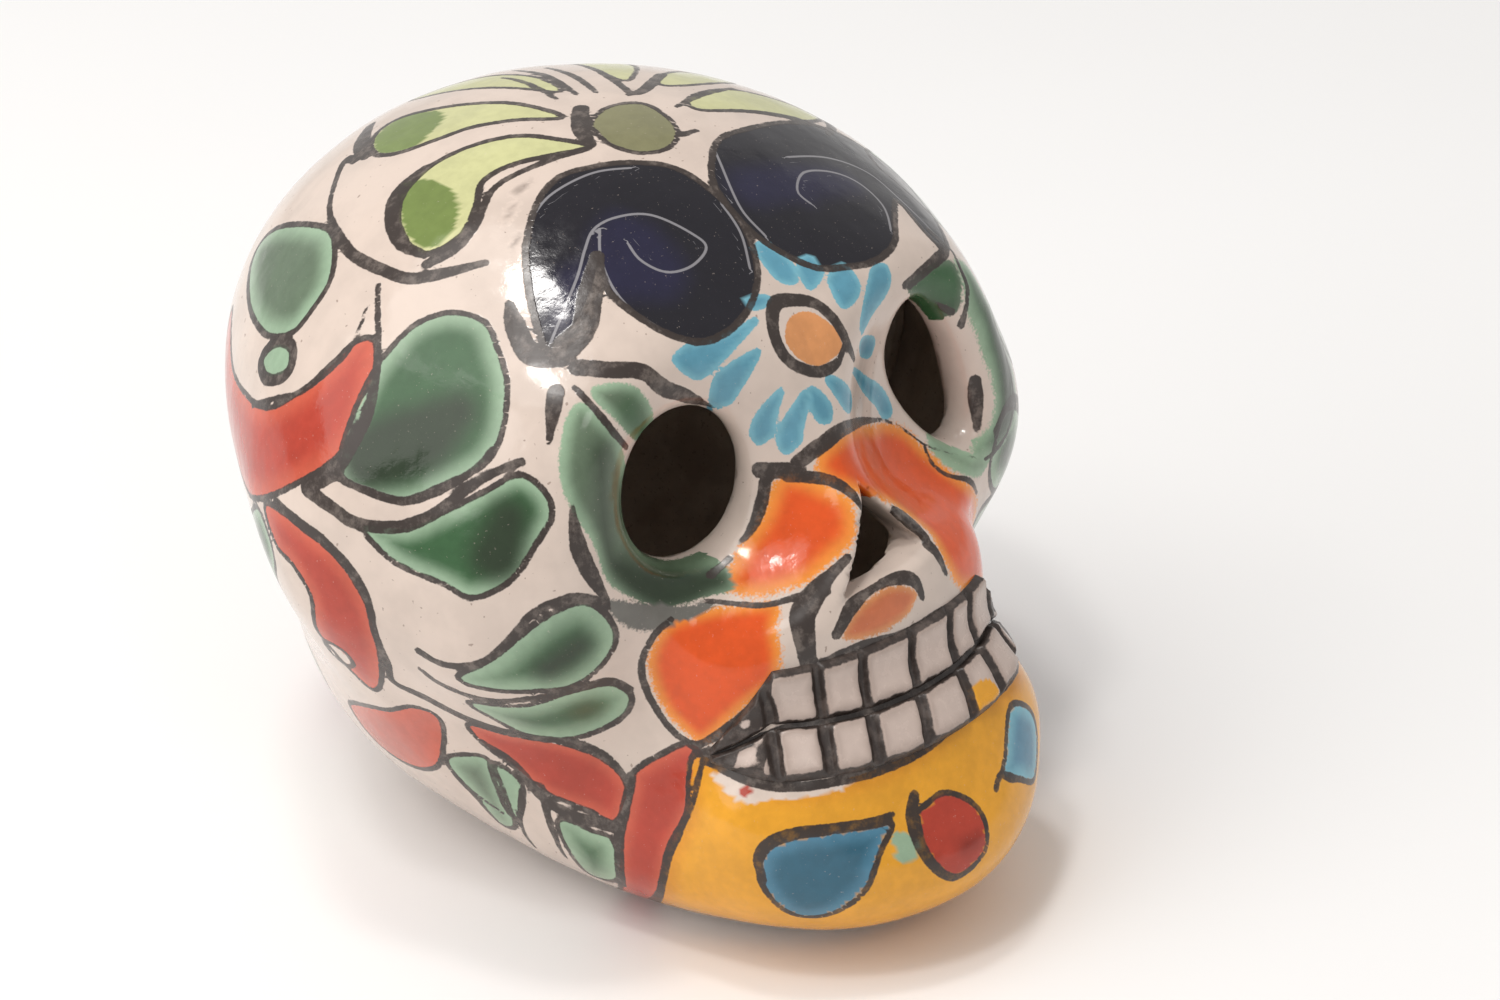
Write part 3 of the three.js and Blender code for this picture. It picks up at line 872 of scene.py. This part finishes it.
def side_bands():
    return [
        red_glaze([(90, 36), (87, 32), (86, 28), (86, 24), (88, 20), (92, 16), (99, 11), (108, 7),
            (118, 7), (128, 10), (134, 15), (136, 21), (124, 18), (112, 19), (104, 21), (98, 26),
            (95, 31), (93, 35)], 4),
        red_glaze([(100, 9), (94, 10), (88, 9), (84, 7), (81, 3), (80, -1), (81, -8), (84, -15),
            (87, -18), (89, -15), (90, -11), (91, -7), (89, 0), (92, 4), (96, 5)], 3),
        Patch([(91.5, -10), (90, -8.7), (87.7, -9.5), (87.5, -12), (89.5, -13.3), (91.3, -12)],
            CREAM, CREAM, border=0.42),
        red_glaze([(102, -30), (92, -25), (86, -23), (80, -20), (76, -21), (77, -27), (81, -34),
            (90, -38), (100, -37)], 4, body=ROSE),
        red_glaze([(70, -21), (64, -22), (58, -23), (53, -24), (47, -26), (44, -28), (44, -30),
            (46, -33), (50, -33), (56, -33), (60, -32), (66, -28), (69, -25)], 2.5, border=0.4),
        red_glaze([(42, -26), (38, -23), (34, -20), (32, -20), (32.5, -22), (34, -26), (36, -30),
            (38, -35), (39, -46), (39, -55), (46, -55), (45, -45), (45, -38), (44, -33),
            (42.5, -28)], 2.5),
        Patch([(77, -31), (70, -29), (68, -32), (67, -37), (67, -43), (71, -45), (74, -40),
            (77, -35)], MINT, SAGE, ramp=4, border=0.42),
        Patch([(68, -30), (63, -33), (65, -40), (67, -40), (68, -35)], MINT, MINT, border=0.42),
        Patch([(56, -37), (50, -36), (46, -36), (46, -43), (51, -47), (54, -43)], MINT, EMERALD,
            ramp=5, border=0.42),
    ] + strokes(
        [(97, 43, 0.4), (89, 36, 0.5), (86, 31, 0.7), (85, 26, 0.9), (87, 19, 1.2), (91, 15, 1.0)],
        [(110, 19, 0.4), (103, 23, 0.4), (98, 26, 0.4), (94, 32, 0.4), (94, 36, 0.3),
         (96, 40, 0.2)],
        [(97, 11, 0.6), (90, 10, 0.8), (86, 9, 0.7), (82, 6, 0.7), (80, 2, 0.7), (80, -3, 0.6),
         (80, -9, 0.6), (81, -14, 0.6), (76, -16, 0.9), (70, -19, 0.9), (63, -21, 0.8),
         (58, -22, 0.6), (52, -23, 0.5), (47, -25, 0.5), (43, -28, 0.5)],
        [(69, -25, 0.5), (64, -29, 0.7), (59, -34, 0.9), (53, -35, 1.0), (48, -34, 0.9),
         (45, -34, 0.7)],
        [(43, -27, 0.6), (44, -31, 0.8), (45, -35, 0.8), (45, -44, 0.8)],
        [(78, -33, 0.3), (75, -38, 0.3), (69, -41, 0.3)],
        [(59, -32, 0.6), (58, -38, 0.6), (56, -45, 0.3)],
        [(63, -34, 0.4), (65, -42, 0.4), (64, -48, 0.3)],
    )


def side_buds():
    return [
        Patch([(139, 30), (137, 34), (128, 40), (120, 43), (113, 42), (108, 39), (107, 35),
            (108, 31), (114, 28), (122, 27), (129, 27), (136, 28)], MINT, SAGE, ramp=4,
            border=0.5),
        Patch([(112, 25), (110, 28), (106, 29), (104, 27), (106, 25), (109, 24)], MINT, MINT,
            border=0.9),
    ] + strokes(
        [(141, 48, 0.8), (144, 46, 0.7), (135, 45, 0.5), (126, 44, 0.5), (116, 44, 0.8),
         (108, 44, 0.9), (99, 45, 0.9), (92, 46, 0.9), (86, 49, 0.9), (79, 53, 0.5)],
    )


def back_of_head():
    """The back repeats the forehead flower, over leaves and a red band near the foot."""
    flower = [moved(mark, spin=182, lift=-14, stretch=0.8) for mark in small_flower()]
    big_leaf, small_leaf, upper_frond, lower_frond = side_leaves()[:4]
    leaves = [moved(big_leaf, spin=92, lift=-34), moved(small_leaf, spin=94, lift=-36),
              moved(small_leaf, spin=44, lift=-17), moved(upper_frond, spin=74, lift=-15),
              moved(lower_frond, spin=72, lift=-16)]
    low_band = Patch([(142, -38), (150, -35), (165, -35), (180, -34), (195, -35), (210, -35),
        (218, -38), (210, -43), (195, -42), (180, -43), (165, -42), (150, -43)], RUST, BRICK,
        ramp=3, border=0.5)
    return flower + leaves + mirrored(leaves) + [low_band]


def all_marks():
    sides = side_bands() + side_leaves() + side_buds()
    return (back_of_head() + crown_flower() + sides + mirrored(sides) + cheeks() + chin()
            + far_eye() + near_eye() + nose_and_lip() + near_swirl() + far_swirl()
            + small_flower())


# ---- teeth --------------------------------------------------------------------------------------
def mouth_point(angle, height, lift):
    origin = np.stack([0 * height, 0 * height + MOUTH["axis_y"], height], 1)
    direction = np.stack([np.sin(angle), -np.cos(angle), 0 * angle], 1)
    point = cast(origin, direction, far=60)
    return point + unit(slope_of(skin_field, point)) * lift[:, None]


def tooth_marks():
    dab = wash([(-8, -15.5), (-12, -15.7), (-13, -17), (-10.7, -18.2), (-7.5, -18)],
        AMBER, YELLOW, ramp=1.2, soft=0.5)
    return nose_and_lip() + [dab]


def tooth_strip(name, low, high):
    """One row of teeth: a closed strip whose face swells into pillows between rough cuts."""
    columns, rows = TOOTH_COLUMNS, TOOTH_ROWS
    radius = MOUTH["radius"]
    tip = math.radians(MOUTH["tip"])
    last_cut = math.radians(CUTS[-1][0])
    angle, across = (part.ravel() for part in np.meshgrid(
        np.linspace(-tip, tip, columns), np.linspace(0, 1, rows), indexing="ij"))
    pinch = np.clip((np.abs(angle) - last_cut) / (tip - last_cut), 0, 1)
    narrow = 1 - MOUTH["tip_narrow"] * pinch
    above_line = narrow * (low + (high - low) * across)
    height = MOUTH["line_z"] - MOUTH["tip_drop"] * pinch + above_line
    flat = np.stack([angle * radius, height, 0 * height], 1)

    end_gap = (tip - np.abs(angle)) * radius
    edge_gap = np.minimum(across, 1 - across) * (high - low) * narrow
    by_line = np.abs(height - MOUTH["line_z"] + MOUTH["tip_drop"] * pinch) < MOUTH["lower"] / 2
    gap = np.minimum(edge_gap + np.where(by_line, 0.5, 0.1), end_gap)
    for turn, slant in CUTS:
        cut = np.radians(turn + slant * above_line)
        gap = np.minimum(gap, np.abs(angle - cut) * radius)
    gap += sum(amount * jitter(flat, width) for amount, width in CUT_ROUGH)
    pillow = smooth_step(*PILLOW, gap) * (1 - 0.4 * pinch)
    lift = MOUTH["floor"] + (MOUTH["proud"] - MOUTH["floor"]) * pillow
    lift += 0.08 * jitter(flat, 5) + 0.5 * pinch * jitter(flat, 1.5)
    lift = np.where(np.minimum(edge_gap, end_gap) < 1e-6, -MOUTH["edge"], lift)
    front = mouth_point(angle, height, lift)
    back = mouth_point(angle, height, np.full(len(angle), -MOUTH["sunk"]))

    points = np.vstack([front, back])
    mesh = bpy.data.meshes.new(name)
    mesh.from_pydata(points.tolist(), [], strip_faces(columns, rows))
    mesh.polygons.foreach_set("use_smooth", np.ones(len(mesh.polygons), bool))
    skin = Skin(points, TOOTH)
    # Painted light: the swelling tops of the teeth are painted lighter than the glaze beside the
    # cuts.
    skin.colour += (TOOTH_LIT - TOOTH) * np.tile(smooth_step(0.6, 2.6, gap), 2)[:, None]
    skin.fill[:] = REACH
    skin.apply(tooth_marks())
    # The black pigment in the cuts is smeared over the pinched corners.
    smear = np.where(pinch > 0.04, 0.15 + 0.9 * jitter(flat, 1.9), -REACH)
    skin.line = np.maximum(skin.line, np.tile(np.maximum(CUT_INK - gap, smear), 2))
    skin.store(mesh)
    to_row(mesh)
    return mesh


def strip_faces(columns, rows):
    """Quads of a front grid, a back grid and the wall between their borders."""
    number = np.arange(columns * rows).reshape(columns, rows)
    a, b = number[:-1, :-1].ravel(), number[1:, :-1].ravel()
    c, d = number[1:, 1:].ravel(), number[:-1, 1:].ravel()
    front = np.stack([a, b, c, d], 1)
    back = front[:, ::-1] + columns * rows
    border = np.concatenate([number[:, 0], number[-1, 1:], number[-2::-1, -1], number[0, -2:0:-1]])
    following = np.roll(border, -1)
    behind = columns * rows
    wall = np.stack([following, border, border + behind, following + behind], 1)
    return np.vstack([front, back, wall]).tolist()


# ---- materials ----------------------------------------------------------------------------------
class Recipe:
    """A small helper that adds shader nodes and joins them up."""

    def __init__(self, name):
        self.material = bpy.data.materials.new(name)
        self.material.use_nodes = True
        self.tree = self.material.node_tree
        self.surface = self.tree.nodes["Principled BSDF"]
        self.place = self.node("ShaderNodeTexCoord").outputs["Object"]

    def node(self, kind, settings=None, **inputs):
        made = self.tree.nodes.new(kind)
        for key, value in (settings or {}).items():
            setattr(made, key, value)
        for key, value in inputs.items():
            self.feed(made.inputs[key.replace("_", " ")], value)
        return made

    def feed(self, socket, value):
        if isinstance(value, bpy.types.NodeSocket):
            self.tree.links.new(value, socket)
        elif isinstance(value, np.ndarray):
            socket.default_value = (*value, 1)
        else:
            socket.default_value = value

    def number(self, name):
        return self.node("ShaderNodeAttribute", {"attribute_name": name}).outputs["Fac"]

    def colour(self, name):
        return self.node("ShaderNodeAttribute", {"attribute_name": name}).outputs["Color"]

    def noise(self, size, detail=3.0, roughness=0.55):
        """Noise whose features are about `size` millimetres across."""
        made = self.node("ShaderNodeTexNoise", Vector=self.place, Scale=1 / (size * MM),
                         Detail=detail, Roughness=roughness)
        return made.outputs["Fac"]

    def math(self, operation, first, second=0.0):
        made = self.node("ShaderNodeMath", {"operation": operation})
        for socket, value in zip(made.inputs, (first, second)):
            self.feed(socket, value)
        return made.outputs[0]

    def times(self, first, second):
        return self.math("MULTIPLY", first, second)

    def plus(self, first, second):
        return self.math("ADD", first, second)

    def centred(self, noise):
        return self.math("SUBTRACT", noise, 0.5)

    def ramp(self, value, low, high, start=0.0, end=1.0):
        made = self.node("ShaderNodeMapRange", {"interpolation_type": "SMOOTHSTEP"})
        for key, part in zip(("Value", "From Min", "From Max", "To Min", "To Max"),
                             (value, low, high, start, end)):
            self.feed(made.inputs[key], part)
        return made.outputs["Result"]

    def mix(self, share, first, second, blend="MIX"):
        made = self.node("ShaderNodeMix", {"data_type": "RGBA", "blend_type": blend})
        self.feed(made.inputs["Factor"], share)
        self.feed(made.inputs[6], first)
        self.feed(made.inputs[7], second)
        return made.outputs[2]

    def bump(self, height, distance, under=None):
        made = self.node("ShaderNodeBump", Strength=1.0, Distance=distance * MM, Height=height)
        if under is not None:
            self.feed(made.inputs["Normal"], under)
        return made.outputs["Normal"]

    def finish(self, colour, roughness, normal):
        self.feed(self.surface.inputs["Base Color"], colour)
        self.feed(self.surface.inputs["Roughness"], roughness)
        self.feed(self.surface.inputs["Normal"], normal)
        return self.material


def clay_colours(recipe):
    tone = recipe.mix(recipe.ramp(recipe.noise(9), 0.35, 0.65), CLAY_DARK, CLAY_LIGHT)
    grit = recipe.ramp(recipe.noise(0.7, 2), 0.62, 0.72)
    return recipe.mix(recipe.times(grit, 0.45), tone, CLAY_GRIT)


def bare_clay(name):
    recipe = Recipe(name)
    bump = recipe.bump(recipe.noise(3.5), 0.35)
    bump = recipe.bump(recipe.noise(0.5, 4), 0.12, under=bump)
    roughness = recipe.ramp(recipe.noise(2), 0.3, 0.7, 0.78, 0.95)
    return recipe.finish(clay_colours(recipe), roughness, bump)


def majolica(name, cream, mottle, satin):
    """Tin glaze with the painting read from the mesh.

    `mottle` is how unevenly the coloured glazes lie, `satin` the roughness of the gloss.
    """
    recipe = Recipe(name)
    fine = recipe.noise(0.45, 2)
    medium = recipe.noise(1.6)
    broad = recipe.noise(7)

    mottled = recipe.mix(recipe.ramp(broad, 0.35, 0.7), cream, cream * 0.9)
    speck = recipe.ramp(recipe.noise(0.8, 1, 0.3), 0.745, 0.79)
    mottled = recipe.mix(recipe.times(speck, 0.55), mottled, SPECK)

    # Coloured glaze lies thicker and thinner along the brush, and has a ragged edge.
    thickness = recipe.plus(recipe.times(medium, 0.45), recipe.times(broad, 0.55))
    wash = recipe.ramp(thickness, 0.3, 0.7, 1 - mottle, 1 + mottle)
    grey = recipe.node("ShaderNodeCombineColor", Red=wash, Green=wash, Blue=wash).outputs[0]
    painted = recipe.mix(1.0, recipe.colour("glaze_colour"), grey, "MULTIPLY")
    spatter = recipe.ramp(fine, 0.68, 0.76)
    painted = recipe.mix(recipe.times(spatter, 0.22), painted, cream)
    soft = recipe.number("fill_soft")
    ragged = recipe.times(recipe.centred(fine), recipe.times(soft, 5.0))
    ragged = recipe.plus(recipe.number("fill_depth"), ragged)
    filled = recipe.ramp(ragged, recipe.times(soft, -1.0), soft)
    colour = recipe.mix(filled, mottled, painted)

    hair = recipe.ramp(recipe.math("ABSOLUTE", recipe.number("hair_side")), 0.27, 0.13)
    hair = recipe.times(hair, recipe.ramp(recipe.number("hair_near"), 0.5, 0.9))
    colour = recipe.mix(recipe.times(hair, 0.8), colour, HAIR)

    # Black brush lines: a wandering edge, and thinner pigment where the brush ran dry.
    wander = recipe.plus(recipe.times(recipe.centred(medium), 0.4),
                         recipe.times(recipe.centred(fine), 0.2))
    lined = recipe.ramp(recipe.plus(recipe.number("line_depth"), wander), -0.16, 0.04)
    dry = recipe.ramp(recipe.noise(2.6, 4, 0.7), 0.3, 0.55, 0.82, 0.99)
    colour = recipe.mix(recipe.times(lined, dry), colour, LINE)

    bare = recipe.ramp(recipe.plus(recipe.number("bare_clay"), wander), -0.2, 0.2)
    colour = recipe.mix(bare, colour, clay_colours(recipe))

    roughness = recipe.ramp(medium, 0.3, 0.7, satin, satin + 0.07)
    roughness = recipe.plus(roughness, recipe.times(lined, 0.12))
    roughness = recipe.math("MAXIMUM", roughness, recipe.times(bare, 0.88))

    relief = recipe.bump(recipe.noise(11, 2), 0.32)
    relief = recipe.bump(recipe.plus(recipe.times(lined, 0.5), medium), 0.03, under=relief)
    relief = recipe.bump(recipe.noise(0.3, 2), 0.003, under=relief)
    return recipe.finish(colour, roughness, relief)


# ---- build --------------------------------------------------------------------------------------
def shell_piece(whole, name, side, material, marks, node):
    mesh = half_shell(whole, name, side)
    points = coordinates(mesh)
    skin = Skin(points, CREAM)
    skin.apply(marks)
    skin.store(mesh)
    shade_smooth(mesh, unit(slope_of(shell_field, points)), side)
    to_row(mesh)
    return add_piece(name, mesh, material, node)


glaze = majolica("painted_tin_glaze", CREAM, 0.09, 0.08)
tooth_glaze = majolica("tooth_glaze", TOOTH, 0.05, 0.22)
clay = bare_clay("bare_clay")
marks = all_marks()
whole = shell_mesh()
shell_piece(whole, "glazed_face", -1, glaze, marks, "face_shell")
shell_piece(whole, "glazed_cranium", 1, glaze, marks, "cranium_shell")
upper = tooth_strip("upper_teeth", MOUTH["line_gap"], MOUTH["upper"])
add_piece("upper_teeth", upper, tooth_glaze, "upper_tooth_strip")
lower = tooth_strip("lower_teeth", -MOUTH["lower"], -MOUTH["line_gap"])
add_piece("lower_teeth", lower, tooth_glaze, "lower_tooth_strip")
for node in ("floor_slab", "seam_coil"):
    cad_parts[node].data.materials.clear()
    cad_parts[node].data.materials.append(clay)


# ---- studio -------------------------------------------------------------------------------------
LAMP_COLOUR = (1, 0.97, 0.94)
SKY_COLOUR = (1, 0.99, 0.98, 1)
SKY_STRENGTH = 0.5
LIT_SPOT = Vector((0, 0, 0.05))  # metres, the middle of the skull
# Turn and rise in degrees, distance and size in metres, watts.
SOFTBOXES = (
    (78, 67, 1.0, (0.14, 0.12), 1.4),      # the spot of light on the brow
    (133, 81, 1.0, (0.11, 0.16), 1.5),     # the long highlight above it
    (115, 66, 1.2, (1.1, 0.9), 4.6),       # overhead, from the skull's right
    (110, 30, 1.3, (1.3, 0.9), 4.5),       # side light from the skull's right
    (-140, 20, 1.1, (1.85, 1.0), 0.6),     # weak fill from behind
    (20, 42, 1.3, (0.3, 0.3), 0.6),        # sheen on the nose
)
FLOOR_REACH = 6.0  # metres
# The photograph was taken from this side; the target is in millimetres of the row frame.
CAMERA = {"turn": 43, "rise": 28.3, "distance": 0.641, "target": (15.25, -5.3, 45.3),
          "lens": 100.8, "sensor": 36}


def toward(turn, rise):
    """Unit vector that points from the object at a turn and rise, as a Vector."""
    return Vector(directions([(turn, rise)])[0])


def aim(thing, target, back, distance):
    """Places a lamp or the camera back from its target and turns it to look there."""
    thing.location = target + back * distance
    thing.rotation_euler = back.to_track_quat("Z", "Y").to_euler()


def softbox(turn, rise, distance, size, power):
    data = bpy.data.lights.new("softbox", "AREA")
    data.shape = "ELLIPSE"
    data.size, data.size_y = size
    data.energy = power
    data.color = LAMP_COLOUR
    aim(new_object("softbox", data), LIT_SPOT, toward(turn, rise), distance)


def pale_floor():
    mesh = bpy.data.meshes.new("floor")
    reach = FLOOR_REACH
    corners = [(-reach, -reach, 0), (reach, -reach, 0), (reach, reach, 0), (-reach, reach, 0)]
    mesh.from_pydata(corners, [], [(0, 1, 2, 3)])
    recipe = Recipe("pale_floor")
    tone = recipe.mix(recipe.noise(120), FLOOR_LIGHT, FLOOR_DARK)
    bump = recipe.bump(recipe.noise(4), 0.02)
    mesh.materials.append(recipe.finish(tone, recipe.ramp(recipe.noise(30), 0, 1, 0.6, 0.7), bump))
    floor = new_object("floor", mesh)


def photo_camera():
    data = bpy.data.cameras.new("camera")
    data.lens = CAMERA["lens"]
    data.sensor_width = CAMERA["sensor"]
    camera = new_object("camera", data)
    back = toward(CAMERA["turn"], CAMERA["rise"])
    aim(camera, Vector(CAMERA["target"]) * MM, back, CAMERA["distance"])
    bpy.context.scene.camera = camera


def studio_light():
    world = bpy.data.worlds.new("studio")
    world.use_nodes = True
    background = world.node_tree.nodes["Background"]
    background.inputs["Color"].default_value = SKY_COLOUR
    background.inputs["Strength"].default_value = SKY_STRENGTH
    bpy.context.scene.world = world
    bpy.context.scene.view_settings.view_transform = "Standard"
    for light in SOFTBOXES:
        softbox(*light)


pale_floor()
studio_light()
photo_camera()
